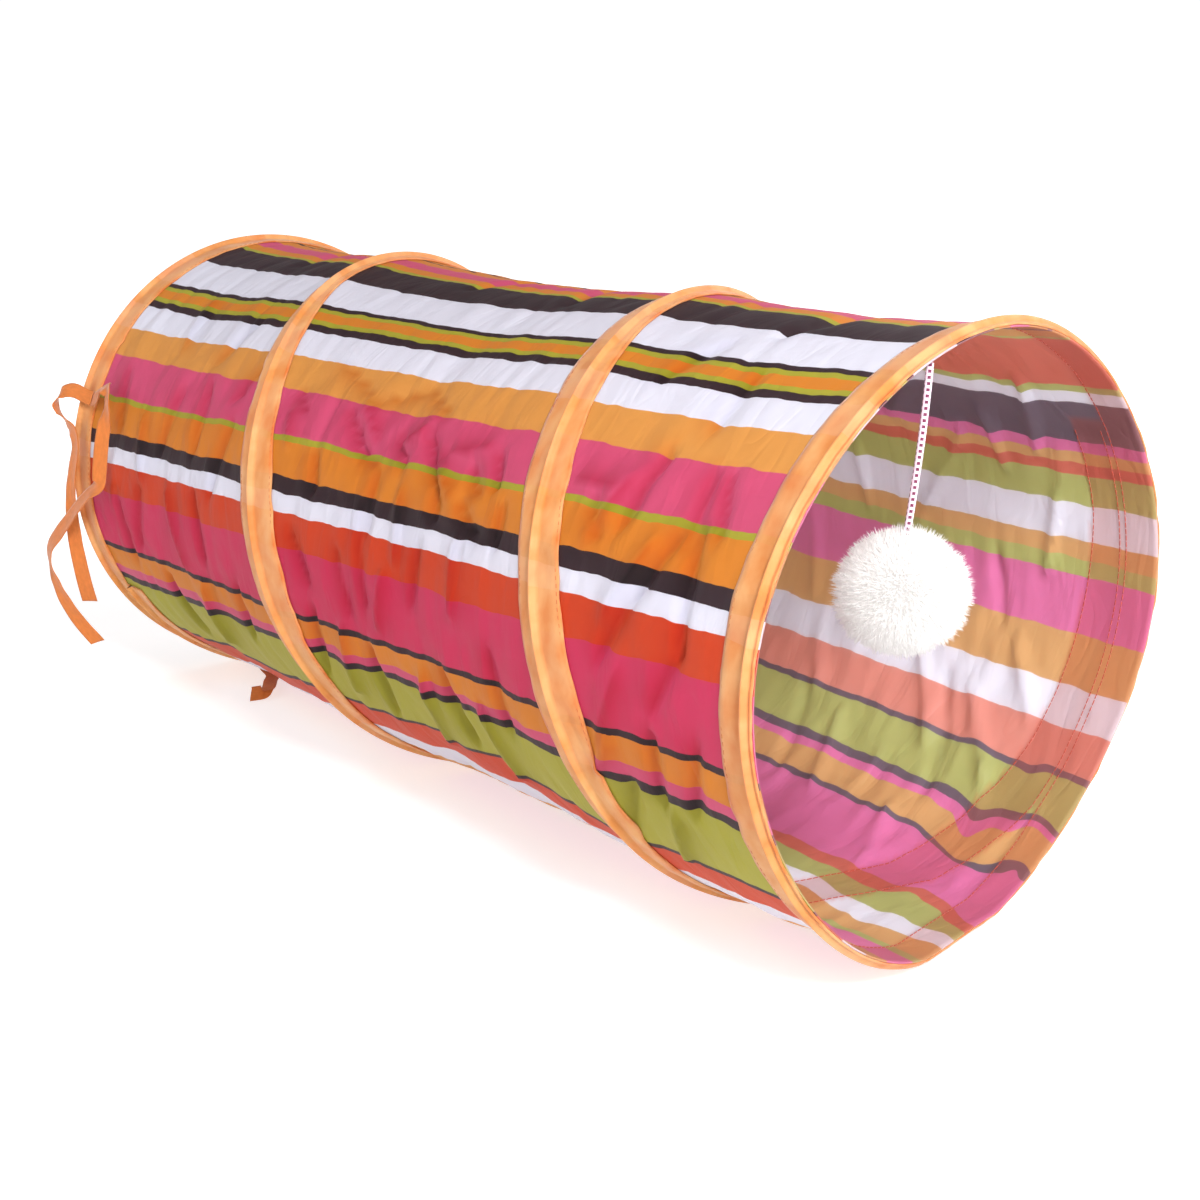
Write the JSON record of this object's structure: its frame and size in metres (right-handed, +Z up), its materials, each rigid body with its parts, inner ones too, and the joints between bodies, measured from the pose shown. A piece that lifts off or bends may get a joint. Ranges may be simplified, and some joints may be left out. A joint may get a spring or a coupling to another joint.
{
  "type": "cat tunnel with spring wire frame",
  "caption": "Collapsible striped cloth cat tunnel on a spiral spring wire in sewn casing tapes, open at both ends, with ribbon ties and a pompom toy hung in its mouth.",
  "frame": {"origin": "on the surface that the tunnel lies on, under the middle of the tube and its casing tapes", "axes": "+X runs along the tube, out of the mouth that holds the pompom; +Z is up; the ties hang on the -Y side"},
  "size_m": [0.5599, 0.2677, 0.252],
  "materials": {
    "striped_cloth": "thin sheer polyester, printed lengthwise stripes in pink, orange, olive, white and black",
    "casing_tape": "sheer orange bias tape, edge stitched",
    "spring_wire": "spring steel wire",
    "tie_ribbon": "orange ribbon, satin",
    "braided_cord": "white braid with magenta flecks",
    "pompom_yarn": "white fluffy yarn"
  },
  "bodies": {
    "root": {"tunnel_cloth": "striped_cloth", "tape_mouth_ring": "casing_tape", "tape_spiral": "casing_tape", "tape_rear_ring": "casing_tape", "wire_mouth_ring": "spring_wire", "wire_spiral": "spring_wire", "wire_rear_ring": "spring_wire", "tie_loop_tail": "tie_ribbon", "tie_long_tail": "tie_ribbon", "tie_floor_tail": "tie_ribbon", "pompom_cord": "braided_cord", "pompom": "pompom_yarn"}
  },
  "joints": []
}
